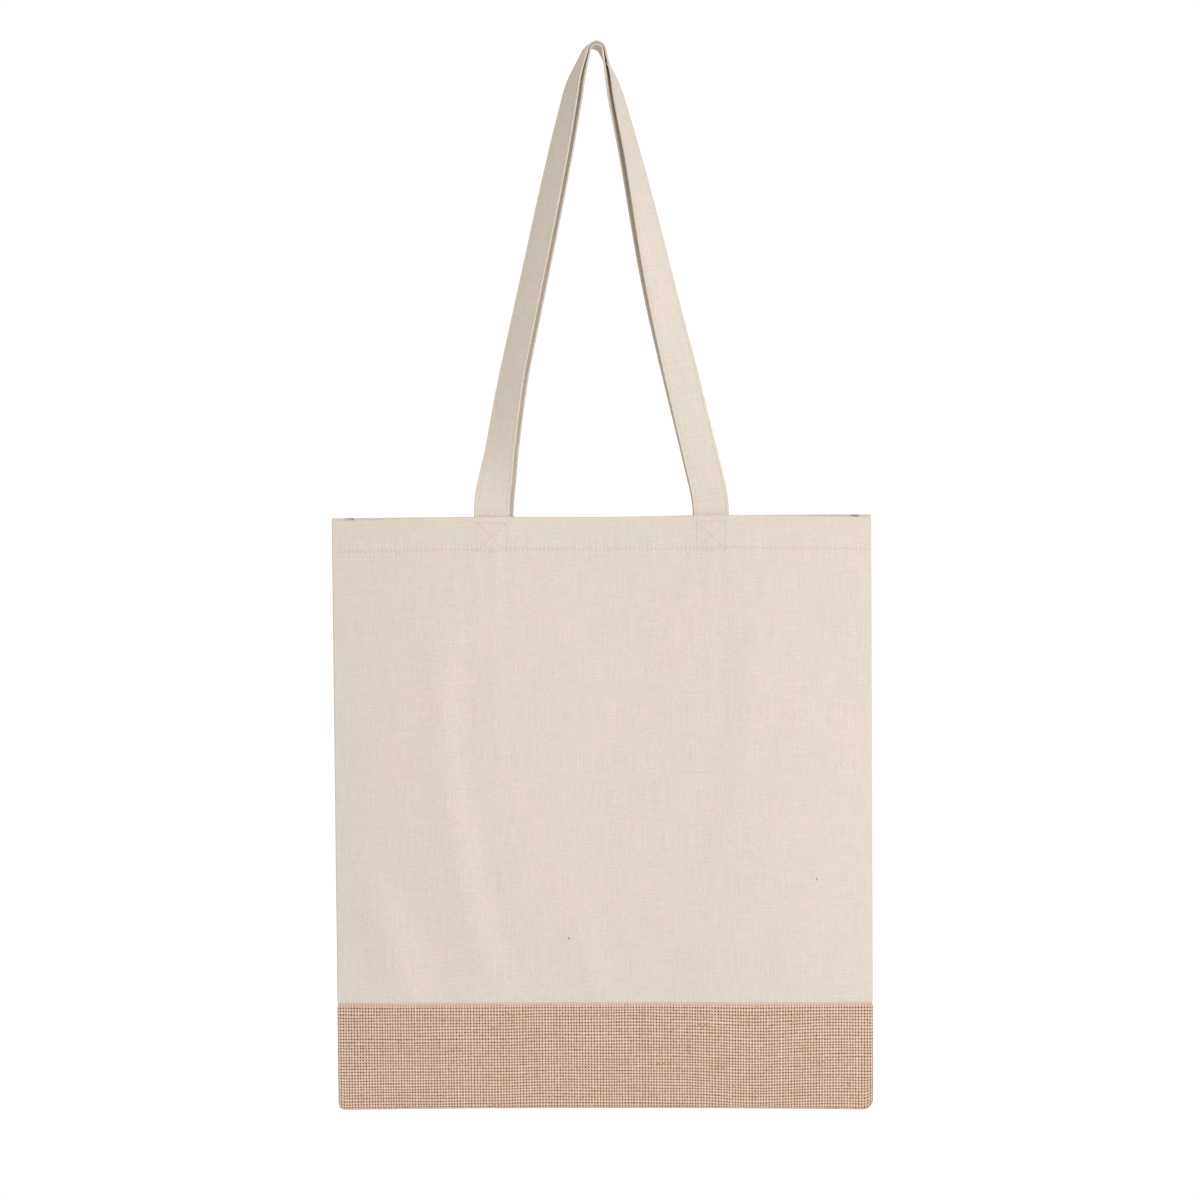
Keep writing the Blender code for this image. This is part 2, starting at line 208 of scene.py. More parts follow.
def cloth(name, points, thickness, uvs, kept=None):
    """Closed cloth round a grid of middle points. kept says which cells of the grid are cloth."""
    rows, columns = points.shape[:2]
    normals = grid_normals(points)
    both = np.concatenate([points + normals * thickness / 2, points - normals * thickness / 2])
    count = rows * columns
    if kept is None:
        kept = np.ones((rows - 1, columns - 1), bool)
    row, column = np.nonzero(kept)
    first = row * columns + column
    quads = np.stack([first, first + 1, first + columns + 1, first + columns], axis=1)
    edges = np.concatenate([quads[:, [k, (k + 1) % 4]] for k in range(4)])
    keys = np.sort(edges, axis=1) @ [count, 1]
    _, index, times = np.unique(keys, return_index=True, return_counts=True)
    rim = edges[index[times == 1]]
    sides = np.stack([rim[:, 1], rim[:, 0], rim[:, 0] + count, rim[:, 1] + count], axis=1)
    faces = np.concatenate([quads, quads[:, ::-1] + count, sides])
    used, faces = np.unique(faces, return_inverse=True)
    flat = both.reshape(-1, 3)[used]
    flat_uvs = np.concatenate([uvs.reshape(-1, 2), uvs.reshape(-1, 2) + [0.5, 0.013]])[used]
    return new_mesh(name, flat, faces.reshape(-1, 4).tolist(), flat_uvs)


def uv_grid(across, along):
    return np.stack(np.broadcast_arrays(across, along), axis=-1)


def tube_faces(tubes, length, sides):
    """Faces of closed tubes, each with its number of rings as length and that many points to a ring."""
    base = (np.arange(tubes) * length * sides)[:, None, None]
    step = (np.arange(length - 1) * sides)[None, :, None]
    side = np.arange(sides)[None, None]
    after = (side + 1) % sides
    a, b = base + step + side, base + step + after
    faces = np.stack([a, b, b + sides, a + sides], axis=-1).reshape(-1, 4).tolist()
    for start in range(0, tubes * length * sides, length * sides):
        faces.append(list(range(start + sides - 1, start - 1, -1)))
        faces.append(list(range(start + (length - 1) * sides, start + length * sides)))
    return faces


def thread_tubes(lines):
    """(points, faces) of threads along many lines of equal length, [line, point, 3]."""
    lines = np.asarray(lines, float)
    count, length = lines.shape[:2]
    along = np.gradient(lines, axis=1)
    along /= np.maximum(np.linalg.norm(along, axis=2, keepdims=True), 1e-12)
    helper = np.where(np.abs(along[..., 1:2]) > 0.9, [[[1.0, 0, 0]]], [[[0, 1.0, 0]]])
    across = np.cross(along, helper)
    across /= np.linalg.norm(across, axis=2, keepdims=True)
    other = np.cross(along, across)
    angles = np.arange(THREAD_SIDES) * 2 * np.pi / THREAD_SIDES
    ring = across[:, :, None] * np.cos(angles)[:, None] + other[:, :, None] * np.sin(angles)[:, None]
    points = lines[:, :, None] + ring * THREAD_R
    return points.reshape(-1, 3), tube_faces(count, length, THREAD_SIDES)


def between(at, given, vectors):
    """Vectors at these places along a line, between the given ones."""
    return np.stack([np.interp(at, given, values) for values in vectors.T], axis=-1)


def stitches(name, runs, pitch):
    """Separate stitches along runs of (points, outward normals). Each dips into the cloth at both ends."""
    lines = []
    shares = np.array([0.04, 0.16, 0.36, 0.64, 0.84, 0.96])
    lifts = np.array([-1.6, -0.3, 0.35, 0.35, -0.3, -1.6]) * THREAD_R
    # Painted shade at each stitch's ends, darkest where it sinks into its needle hole.
    hole_shade = np.array([1.0, 0.4, 0.0, 0.0, 0.4, 1.0])
    for points, normals in runs:
        points, normals = np.asarray(points, float), np.asarray(normals, float)
        along = np.concatenate([[0], np.cumsum(np.linalg.norm(np.diff(points, axis=0), axis=1))])
        count = max(1, round(along[-1] / pitch))
        at = (np.arange(count)[:, None] + shares) * (along[-1] / count)
        lines.append(between(at, along, points) + between(at, along, normals) * lifts[None, :, None])
    points, faces = thread_tubes(np.concatenate(lines))
    uvs = np.stack([points[:, 0] + points[:, 1], points[:, 2]], axis=1)
    hole_shades = np.tile(np.repeat(hole_shade, THREAD_SIDES), len(points) // (len(hole_shade) * THREAD_SIDES))
    return new_mesh(name, points, faces, uvs, {"needle_hole_shade": hole_shades})


# --- The shape of the bag -------------------------------------------------------------------------


def smooth(value):
    share = np.clip(value, 0, 1)
    return share * share * (3 - 2 * share)


def middle_half(up):
    rising = BOTTOM_HALF + (BELLY_HALF - BOTTOM_HALF) * np.sin(np.pi / 2 * np.clip(up / BELLY_UP, 0, 1))
    share = np.clip((up - BELLY_UP) / (HEIGHT - BELLY_UP), 0, 1)
    falling = MOUTH_HALF + (BELLY_HALF - MOUTH_HALF) * (1 + np.cos(np.pi * share)) / 2
    return np.where(up <= BELLY_UP, rising, falling)


def outer_half(x, up):
    share = np.clip((np.abs(x) - FLAT_HALF) / (FOLD_X - FLAT_HALF), 0, 1)
    return SIDE_HALF + (middle_half(up) - SIDE_HALF) * (1 - share**2)


def ridge(x, up, start, end, bow, width, height):
    """A soft fold along a bowed line from start to end, each (x, up). It steps down to its left."""
    run = np.array(end) - np.array(start)
    length = np.hypot(*run)
    along = ((x - start[0]) * run[0] + (up - start[1]) * run[1]) / length**2
    away = ((x - start[0]) * run[1] - (up - start[1]) * run[0]) / length
    away = away - bow * 4 * along * (1 - along)
    window = smooth((along + 0.15) / 0.35) * smooth((1.15 - along) / 0.35)
    shape = np.exp(-((away / width) ** 2) / 2) * away / width * 1.6
    return height * window * shape


def creases(face, x, up):
    """How far the cloth stands out from its smooth shape."""
    below = HEIGHT - up
    out = np.zeros(np.broadcast(x, up).shape)
    for side, phase in ((-1, 0.4), (1, 1.9)):
        near = np.exp(-(((x - side * STRAP_X) / 0.020) ** 2))
        reach = smooth(below / 0.03) * np.exp(-below / 0.085)
        out += 0.00042 * near * reach * np.sin((x - side * STRAP_X) / 0.0022 + phase)
        out += 0.0009 * np.exp(-(((x - side * STRAP_X) / 0.030) ** 2)) * np.exp(-below / 0.16)
    for number in range(7):
        wave = 0.055 + 0.016 * number
        phase = 1.7 * number + (0.6 if face > 0 else 0.0)
        lean = 0.25 * math.sin(2.3 * number + face)
        out += 0.00016 * np.cos(2 * np.pi * (x + lean * up) / wave + phase) * np.cos(up / 0.07 + number)
    for start, end, bow, width, height in FRONT_FOLDS if face < 0 else BACK_FOLDS:
        out += ridge(x, up, start, end, bow, width, height)
    stitched = np.exp(-(((up - HEM_LINE) / 0.0011) ** 2))
    out -= 0.00022 * stitched
    quiet = 1 - smooth((np.abs(x) - 0.150) / 0.034)
    low = smooth(up / 0.05)
    return out * quiet * low


def droop(face, x, up):
    """How far the top edge hangs down away from the straps that hold it."""
    outside = np.clip((np.abs(x) - STRAP_X - 0.008) / (HALF_WIDTH - STRAP_X - 0.008), 0, 1)
    inside = np.clip(1 - (np.abs(x) / (STRAP_X - 0.010)) ** 2, 0, 1)
    most, lip = (0.0018, 0.0008) if face < 0 else (0.0004, 0.0)
    below_top = HEIGHT - np.minimum(up, HEIGHT)
    wide = (most * outside**1.5 + 0.0006 * inside) * np.exp(-below_top / 0.07)
    return -wide - lip * np.exp(-below_top / 0.012)


def hang(x, up):
    """How much lower the cloth hangs than it would if the bag hung square, most at the bottom."""
    low = 1 - np.clip(up / HEIGHT, 0, 1)
    rise = np.interp(up, (0, SEAM, HEIGHT), (BOTTOM_RISE, SEAM_RISE, 0))
    return low * (SKEW * x + CORNER_SAG * (x / HALF_WIDTH) ** 2) - rise


def corner_lift(x):
    """How far the bottom fold rises at its rounded corners."""
    radius = np.where(x < 0, CORNER_LEFT, CORNER_RIGHT)
    over = np.clip(np.abs(x) - (HALF_WIDTH - radius), 0, radius)
    return radius - np.sqrt(radius**2 - over**2)


def outline(u, up, deep):
    """(x, half depth) of the cloth at u, over the wall, round the side fold and back along the seam."""
    reach = np.abs(u)
    beyond = np.maximum(reach - FOLD_X, 0)
    turned = np.minimum(beyond / FOLD_R, np.pi)
    back = np.maximum(beyond - np.pi * FOLD_R, 0)
    x = np.minimum(reach, FOLD_X) + (FOLD_R - deep) * np.sin(turned) - back
    wall = outer_half(reach, up) - deep
    fold = FOLD_Y + (FOLD_R - deep) * np.cos(turned)
    return np.sign(u) * x, np.where(reach <= FOLD_X, wall, fold)


def narrowing(up):
    """The bag's width at a height, as a share of its width at the top."""
    return 1 - TAPER / HALF_WIDTH * (1 - up / HEIGHT)


def bag_point(face, u, up, deep):
    """Places on the bag, as an array [..., 3]."""
    u, up, deep = np.broadcast_arrays(u, up, deep)
    x, half = outline(u, up, deep)
    y = face * (half + creases(face, x, up))
    z = BOTTOM + up + droop(face, x, up) + corner_lift(x) * smooth(1 - up / 0.03) - hang(x, up)
    return np.stack([x * narrowing(up), y, z], axis=-1)


def across_stations(cell):
    """u across the cloth, finer round the side folds, out to the raw edges of the allowances."""
    reach = FOLD_X + np.pi * FOLD_R + ALLOWANCE - FOLD_R
    wall = np.linspace(-FOLD_X, FOLD_X, round(2 * FOLD_X / cell) + 1)
    fold = FOLD_X + FOLD_R * np.linspace(0, np.pi, 9)[1:]
    tail = np.linspace(FOLD_X + np.pi * FOLD_R, reach, 4)[1:]
    right = [*fold, *tail]
    return np.array([*[-u for u in reversed(right)], *wall, *right])


def clear_of_seams(u):
    """Which columns of cells stop short of the side seams."""
    middle = np.abs(u) < HALF_WIDTH - HEM_END
    return (middle[:-1] & middle[1:])[None]


# --- Canvas ---------------------------------------------------------------------------------------


def canvas_rows():
    """(up, deep) of a canvas panel's rows: the outer wall, the top fold and the twice-turned hem."""
    fold_up = HEIGHT - HEM_PITCH - CANVAS / 2
    edge = SEAM + np.array([0, 0.0003, 0.0007, 0.0013, 0.0022])
    body = np.linspace(SEAM + 0.0045, HEM_LINE - 0.0045, round((HEM_LINE - SEAM) / CANVAS_CELL))
    hem = np.linspace(HEM_LINE - 0.0036, HEM_LINE + 0.0036, 13)
    rest = np.linspace(HEM_LINE + 0.0055, fold_up, 8)
    ups = np.concatenate([edge, body, hem, rest])
    # The canvas is rolled under at the jute, so its edge curves in.
    deeps = CANVAS / 2 + 0.00045 * np.exp(-(ups - SEAM) / 0.0007)
    turn = np.linspace(0, np.pi, 9)[1:]
    ups = [*ups, *(fold_up + HEM_PITCH * np.sin(turn))]
    deeps = [*deeps, *(CANVAS / 2 + HEM_PITCH * (1 - np.cos(turn)))]
    inner = CANVAS / 2 + 2 * HEM_PITCH
    low = HEIGHT - HEM_HEIGHT + CANVAS
    for up in np.linspace(fold_up - 0.002, low, 9):
        ups.append(up)
        deeps.append(inner)
    for angle in np.linspace(0, np.pi, 6)[1:]:
        ups.append(low - HEM_PITCH / 2 * math.sin(angle))
        deeps.append(inner - HEM_PITCH / 2 * (1 - math.cos(angle)))
    for up in np.linspace(low + 0.003, low + HEM_TURN, 3):
        ups.append(up)
        deeps.append(inner - HEM_PITCH)
    return np.array(ups), np.array(deeps)


def canvas_panel(name, face):
    u = across_stations(CANVAS_CELL)
    ups, deeps = canvas_rows()
    points = bag_point(face, u[None], ups[:, None], deeps[:, None])
    walk = np.concatenate([[0], np.cumsum(np.hypot(np.diff(ups), np.diff(deeps)))])
    uvs = uv_grid(u[None] + 0.25, walk[:, None] + SEAM)
    top_row = int(np.argmax(ups))
    row_kept = np.arange(len(ups) - 1) < top_row
    kept = row_kept[:, None] | clear_of_seams(u)
    if face > 0:
        points, uvs, kept = points[:, ::-1], uvs[:, ::-1] + [0, 0.31], kept[:, ::-1]
    return cloth(name, points, CANVAS, uvs, kept)


# --- Jute -----------------------------------------------------------------------------------------


def bottom_point(face, u, turned, deep):
    """Places round the bottom fold: turned is 0 on the wall and a quarter turn at the lowest line."""
    u, turned, deep = np.broadcast_arrays(u, turned, deep)
    _, outer = outline(u, np.zeros(u.shape), np.zeros(u.shape))
    inner = outline(u, np.zeros(u.shape), deep)
    centre = np.where(np.abs(u) <= FOLD_X, outer, SIDE_HALF)
    y = face * inner[1] * np.cos(turned)
    drop = np.where(np.abs(u) <= FOLD_X, inner[1], SIDE_HALF - deep)
    z = BOTTOM + centre - drop * np.sin(turned) + corner_lift(inner[0]) - hang(inner[0], 0)
    return np.stack([inner[0] * narrowing(0), y, z], axis=-1)


def jute_point(face, u, down, deep):
    """Places on the jute at a distance down from the canvas seam, over the wall and round the bottom."""
    u, down, deep = np.broadcast_arrays(u, down, deep)
    _, outer = outline(u, np.zeros(u.shape), np.zeros(u.shape))
    centre = np.where(np.abs(u) <= FOLD_X, outer, SIDE_HALF)
    wall_run = SEAM - centre
    turned = np.clip((down - wall_run) / centre, 0, np.pi / 2)
    wall = bag_point(face, u, np.maximum(SEAM - down, centre), deep)
    fold = bottom_point(face, u, turned, deep)
    share = (down > wall_run)[..., None]
    return np.where(share, fold, wall)


def jute_inside(name):
    """The band as one strip from seam to seam, with its allowances: what the woven face is on."""
    u = across_stations(0.005)
    thickness = JUTE - SKIN_BACK - 0.00005
    deep = JUTE - thickness / 2
    tucked = CANVAS + 0.00035 + JUTE / 2
    downs = np.concatenate([[-0.010, -0.005, 0.0002], np.linspace(0.0022, SEAM - BOTTOM_HALF, 15)])
    deeps = np.where(downs < 0.001, tucked, deep)
    rows = [jute_point(-1, u, d, e) for d, e in zip(downs, deeps)]
    for turned in np.linspace(-np.pi / 2, np.pi / 2, 13)[1:-1]:
        rows.append(bottom_point(-1, u, np.pi / 2 + turned, deep))
    rows += [jute_point(1, u, d, e) for d, e in zip(reversed(downs), reversed(deeps))]
    points = np.array(rows)
    walk = np.linspace(0, 0.172, len(rows))
    uvs = uv_grid(u[None] + 0.25, walk[:, None])
    number = np.arange(len(rows) - 1)[:, None]
    whole = (number >= 3) & (number < len(rows) - 4)
    return cloth(name, points, thickness, uvs, whole | clear_of_seams(u))


def yarn_edges(count, length, spread):
    """Boundaries of yarns of uneven width, in all as wide as length."""
    widths = 1 + spread * rng.standard_normal(count)
    widths = np.clip(widths, 0.55, 1.6)
    edges = np.concatenate([[0], np.cumsum(widths)])
    return edges / edges[-1] * length


def smooth_noise(shape, blur):
    """Seeded noise about 0, blurred over (rows, columns), of unit spread."""
    noise = rng.standard_normal(shape)
    for axis, width in enumerate(blur):
        if width < 1:
            continue
        kernel = np.hanning(2 * width + 3)[1:-1]
        noise = np.apply_along_axis(lambda line: np.convolve(line, kernel, "same"), axis, noise)
    return noise / noise.std()


def yarn_waves(part, samples):
    """(wave over each yarn's width, +1 or -1 for each yarn in turn) at each sample."""
    return np.sin(np.pi * part / samples), np.where(np.floor(part / samples) % 2 == 0, 1, -1)


def to_samples(values, samples, axis):
    """One value per yarn, given to all of the yarn's samples and the last one's to the closing edge."""
    values = np.repeat(values, samples, axis=axis)
    return np.concatenate([values, np.take(values, [-1], axis=axis)], axis=axis)


def yarn_relief(part_u, part_v, warps, wefts):
    """(height of the woven face, whether a warp is on top) at each sample, every yarn over and under."""
    wave_u, sign_u = (values[None] for values in yarn_waves(part_u, WARP_SAMPLES))
    wave_v, sign_v = (values[:, None] for values in yarn_waves(part_v, WEFT_SAMPLES))
    # Thick and thin places along each yarn.
    warp_slub = to_samples(smooth_noise((len(part_v), warps), (14, 0)), WARP_SAMPLES, 1)
    weft_slub = to_samples(smooth_noise((wefts, len(part_u)), (0, 30)), WEFT_SAMPLES, 0)
    warp = np.abs(wave_u) ** 0.8 * (0.72 + 0.28 * sign_u * wave_v) * (1 + 0.07 * warp_slub)
    weft = np.abs(wave_v) ** 0.7 * (0.55 - 0.38 * sign_v * wave_u) * (1 + 0.07 * weft_slub)
    return np.clip(np.maximum(warp, weft), 0, 1.35), warp >= weft


def row_wander(part_v, wefts, columns):
    """How far below level the rows run at each sample, as they wander a little."""
    wander = smooth_noise((wefts + 1, columns), (1, 60)) * 0.00016
    wander = np.array([np.interp(part_v / WEFT_SAMPLES, np.arange(wefts + 1), c) for c in wander.T]).T
    lean = smooth_noise((1, columns), (0, 90)) * 0.0005
    return wander + lean


def yarn_attributes(part_u, part_v, down, warps, wefts, warp_on_top, extra):
    """What the material is told at each point: the woven face's, then extra points of the plain back."""
    shape = warp_on_top.shape
    woven = {
        "warp_phase": (part_u / WARP_SAMPLES, 0.5),
        "weft_phase": (part_v[:, None] / WEFT_SAMPLES, 0.5),
        "below_seam": (down[:, None], 0.03),
        "yarn_tint": (yarn_tints(warps, wefts, warp_on_top, shape), 0.5),
        "yarn_warm": (yarn_warmth(warps, wefts, warp_on_top, shape), 0.0),
    }
    made = {}
    for key, (values, plain) in woven.items():
        made[key] = np.concatenate([np.broadcast_to(values, shape).ravel(), np.full(extra, plain)])
    return made


def weave(name, face):
    """The band's woven face, uneven in width and height, on a plain back."""
    half = FOLD_X + 0.8 * np.pi * FOLD_R
    tuck = 0.0030
    length = SEAM + tuck
    warps = round(2 * half / WARP_PITCH / 2) * 2
    wefts = round(length / WEFT_PITCH)
    warp_edges = yarn_edges(warps, 2 * half, 0.08) - half
    weft_edges = yarn_edges(wefts, length, 0.05) - tuck
    part_u = np.arange(WARP_SAMPLES * warps + 1)
    part_v = np.arange(WEFT_SAMPLES * wefts + 1)
    u = np.interp(part_u / WARP_SAMPLES, np.arange(warps + 1), warp_edges)
    down = np.interp(part_v / WEFT_SAMPLES, np.arange(wefts + 1), weft_edges)
    height, warp_on_top = yarn_relief(part_u, part_v, warps, wefts)
    # The face flattens where it is tucked in behind the canvas.
    fade = smooth((down + tuck) / 0.001)[:, None]
    tucked = (CANVAS + 0.0002) * (1 - smooth((down + 0.0004) / 0.0026))[:, None]
    deep = YARN_RELIEF * (1 - height * fade) + tucked - 0.0001
    inner = smooth(down / 0.01)[:, None] * smooth((SEAM - down) / 0.006)[:, None]
    where = down[:, None] + row_wander(part_v, wefts, len(part_u)) * inner
    outer = jute_point(face, u[None], np.minimum(where, SEAM + 0.0005), deep)
    coarse_u, coarse_v = part_u[::WARP_SAMPLES], part_v[::WEFT_SAMPLES]
    back = jute_point(face, u[None, coarse_u], down[coarse_v][:, None], SKIN_BACK + tucked[coarse_v])
    faces = skin_faces(height.shape, back.shape[:2])
    points = np.concatenate([outer.reshape(-1, 3), back.reshape(-1, 3)])
    uv_outer = uv_grid(u[None] + 0.25, down[:, None] + 0.1 * face)
    uv_back = uv_outer[np.ix_(coarse_v, coarse_u)]
    uvs = np.concatenate([uv_outer.reshape(-1, 2), uv_back.reshape(-1, 2)])
    extra = back.shape[0] * back.shape[1]
    attributes = yarn_attributes(part_u, part_v, down, warps, wefts, warp_on_top, extra)
    return new_mesh(name, points, faces if face < 0 else [f[::-1] for f in faces], uvs, attributes)


def spread_yarns(by_warp, by_weft, warp_on_top):
    """A value per warp and per weft, given to the samples where that yarn is on top."""
    warp, weft = to_samples(by_warp, WARP_SAMPLES, 1), to_samples(by_weft, WEFT_SAMPLES, 0)
    return np.where(warp_on_top, warp, weft)


def yarn_tints(warps, wefts, warp_on_top, shape):
    """How light each yarn is, about 0.5."""
    by_warp = 0.52 + 0.035 * rng.standard_normal((1, warps))
    by_warp = by_warp + 0.04 * smooth_noise((shape[0], warps), (20, 0))
    by_weft = 0.48 + 0.03 * rng.standard_normal((wefts, 1))
    by_weft = by_weft + 0.04 * smooth_noise((wefts, shape[1]), (0, 40))
    return np.clip(spread_yarns(by_warp, by_weft, warp_on_top), 0, 1)


def yarn_warmth(warps, wefts, warp_on_top, shape):
    """Orange streaks: 0 on most yarns, up to 1 where a stretch of bark was spun in."""
    by_warp = np.clip(smooth_noise((shape[0], warps), (18, 0)) - 2.1, 0, 1)
    by_weft = np.clip(smooth_noise((wefts, shape[1]), (0, 26)) - 2.0, 0, 1)
    return spread_yarns(by_warp, by_weft, warp_on_top)


def skin_faces(fine, coarse):
    """Faces of a fine grid and a coarse one behind it, joined round their rims."""
    rows, columns = fine
    start = rows * columns
    number = np.arange(start).reshape(rows, columns)
    back = start + np.arange(coarse[0] * coarse[1]).reshape(coarse)
    front_faces = np.stack([number[:-1, :-1], number[:-1, 1:], number[1:, 1:], number[1:, :-1]], axis=-1)
    back_faces = np.stack([back[:-1, :-1], back[1:, :-1], back[1:, 1:], back[:-1, 1:]], axis=-1)
    faces = front_faces[:, :, ::-1].reshape(-1, 4).tolist() + back_faces[:, :, ::-1].reshape(-1, 4).tolist()
    rims = (
        (number[0], back[0], WARP_SAMPLES, False),
        (number[-1], back[-1], WARP_SAMPLES, True),
        (number[:, 0], back[:, 0], WEFT_SAMPLES, True),
        (number[:, -1], back[:, -1], WEFT_SAMPLES, False),
    )
    for fine_line, coarse_line, samples, flip in rims:
        for k in range(len(coarse_line) - 1):
            piece = [int(n) for n in fine_line[k * samples : (k + 1) * samples + 1]]
            face = [*piece, int(coarse_line[k + 1]), int(coarse_line[k])]
            faces.append(face[::-1] if flip else face)
    return faces


# --- Handles --------------------------------------------------------------------------------------


def leg_lean(rise):
    """The angle from upright at which a leg runs straight to the hook, for that rise and spacing."""

    def reach(lean):
        straight = (rise - EASE * math.sin(lean) - HOOK_BEND * (1 - math.sin(lean))) / math.cos(lean)
        across = EASE * (1 - math.cos(lean)) + straight * math.sin(lean) + HOOK_BEND * math.cos(lean)
        return across, straight

    low, high = 0.0, math.pi / 3
    for _ in range(50):
        middle = (low + high) / 2
        low, high = (middle, high) if reach(middle)[0] < STRAP_X else (low, middle)
    return middle, reach(middle)[1]


def leg_path(s, lean, straight):
    """(distance in from the foot, height above the top edge, angle from upright) at lengths s."""
    ease_end = EASE * lean
    bend_start = ease_end + straight
    a = np.clip(s, 0, ease_end) / EASE
    run = np.clip(s - ease_end, 0, straight)
    b = lean + np.clip(s - bend_start, 0, None) / HOOK_BEND
    inwards = EASE * (1 - np.cos(a)) + run * math.sin(lean) + HOOK_BEND * (math.cos(lean) - np.cos(b))
    height = EASE * np.sin(a) + run * math.cos(lean) + HOOK_BEND * (np.sin(b) - math.sin(lean))
    height = height + np.minimum(s, 0)
    angle = np.where(s < ease_end, a, np.maximum(b, lean))
    return inwards, height, angle


class Handle:
    """One handle's line, with its inner-edge and outer-face directions, from left foot to right foot."""

    def __init__(self, face):
        self.face = face
        lean, straight = leg_lean(LOOP_TOP - TOP - HOOK_DROP)
        self.half = EASE * lean + straight + HOOK_BEND * (math.pi / 2 - lean)
        near_foot = np.arange(-STRAP_TAIL + 0.0003, 0.030, 0.0015)
        near_hook = self.half - 0.030 * np.linspace(1, 0, 26) ** 1.2
        middle = np.linspace(0.030, self.half - 0.031, 100)
        s = np.concatenate([near_foot, middle, near_hook])
        left = self.leg(-1, s, lean, straight)
        right = self.leg(1, s[:-1], lean, straight)
        self.s = np.concatenate([s, 2 * self.half - s[-2::-1]])
        self.place, self.inner, self.normal = (np.concatenate([a, b[::-1]]) for a, b in zip(left, right))

    def leg(self, side, s, lean, straight):
        face = self.face
        inwards, height, angle = leg_path(s, lean, straight)
        share = np.clip((s - 0.004) / (self.half - 0.004), 0, 1)
        left = 1 - share
        knots = LEFT_TURN if side < 0 else RIGHT_TURN
        places, turns = zip(*knots)
        blurred = [np.interp(share + d, places, turns) for d in np.linspace(-TURN_BLUR, TURN_BLUR, 9)]
        gap = NEST_GAP * (1 - 0.9 * smooth((share - 0.90) / 0.09))
        # The back handle leans until its far edge meets the front one's.
        tilt = 0.96 * np.arcsin(gap / (STRAP_WIDTH / 2)) * smooth(share / 0.5) if face > 0 else 0.0
        twist = np.radians(np.mean(blurred, axis=0)) - tilt
        shift = BACK_SHIFT * left if (face, side) == (1, -1) else 0.0
        x = side * (STRAP_X - inwards) + shift + HOOK_X * share
        bow = LEFT_BOW * smooth(share / 0.32) if side < 0 else RIGHT_BOW * smooth((share - 0.4) / 0.4)
        x += side * bow * smooth((1 - share) / 0.10)
        up = np.pi / 2 - angle
        outwards = np.stack([side * np.sin(up), np.zeros(len(s)), np.cos(up)], axis=-1)
        place = np.stack([x, face * STRAP_Y * left, TOP + height], axis=-1)
        if face > 0:
            place -= outwards * ((NEST - NEST_GAP + gap) * share)[:, None]
        front = np.array([0.0, -1.0, 0.0])
        cos, sin = np.cos(twist)[:, None], np.sin(twist)[:, None]
        inner, normal = front * sin - outwards * cos, -face * (front * cos + outwards * sin)
        for vectors in (place, inner, normal):
            vectors[:, 0] += HOOK_YAW * vectors[:, 1] * share**2
        return place, inner, normal

    def at(self, s, w, off):
        """Places at lengths s, w towards the inner edge and off the middle thickness."""
        place, inner, normal = (between(s, self.s, v) for v in (self.place, self.inner, self.normal))
        return place + inner * np.asarray(w)[..., None] + normal * np.asarray(off)[..., None]


def strap_half_thickness(w):
    """Half the strap's thickness: pressed thin along its stitching and round at its edges."""
    edge = STRAP_WIDTH / 2
    radius = STRAP_THICKNESS / 2
    away = np.abs(w)
    stitched = 0.00020 * np.exp(-(((away - (edge - EDGE_STITCH)) / 0.0006) ** 2))
    soft = 0.00008 * np.cos(np.pi * np.clip(away / (edge - EDGE_STITCH), 0, 1))
    rounding = np.sqrt(np.clip(1 - (np.clip(away - (edge - radius), 0, radius) / radius) ** 2, 0, 1))
    return (radius - stitched + soft) * rounding


def handle_strap(name, handle):
    edge = STRAP_WIDTH / 2
    # Stations lie closer near each edge, where the fold and the stitching are.
    fine = edge - np.array([0.00004, 0.00018, 0.0004, 0.0008, 0.0013, 0.0017, 0.0022, 0.0027, 0.0032])
    w = np.concatenate([-fine, np.linspace(-edge + 0.0045, edge - 0.0045, 9), fine[::-1]])
    h = strap_half_thickness(w)
    # Two folded edges meet in a groove along each side.
    groove = edge - 0.00035
    profile_w = np.concatenate([w, [groove], w[::-1], [-groove]])
    profile_h = np.concatenate([h, [0], -h[::-1], [0]])
    count = len(profile_w)
    s = handle.s
    points = handle.at(s[:, None].repeat(count, 1), profile_w[None], profile_h[None])
    walk = np.concatenate([[0], np.cumsum(np.hypot(np.diff(profile_w), np.diff(profile_h)))])
    uvs = uv_grid(walk[None], s[:, None] + 0.05)
    faces = tube_faces(1, len(s), count)
    if handle.face > 0:
        faces = [f[::-1] for f in faces]
    return new_mesh(name, points.reshape(-1, 3), faces, uvs.reshape(-1, 2))


def handle_stitches(name, handle):
    """Both rows of edge stitching, on both faces of a handle."""
    s = np.arange(0.0008, 2 * handle.half - 0.0008, 0.001)
    reach = STRAP_WIDTH / 2 - EDGE_STITCH
    runs = []
    for w in (-reach, reach):
        off = strap_half_thickness(np.array(w)) + THREAD_R * 0.4
        for sign in (-1, 1):
            points = handle.at(s, np.full(len(s), w), np.full(len(s), sign * off))
            runs.append((points, sign * between(s, handle.s, handle.normal)))
    return stitches(name, runs, STITCH)


# --- Seams ----------------------------------------------------------------------------------------


def wall_run(face, u, up, deep, outwards):
    points = bag_point(face, u, up, deep)
    normals = np.zeros(points.shape)
    normals[:, 1] = face * outwards
    return points, normals


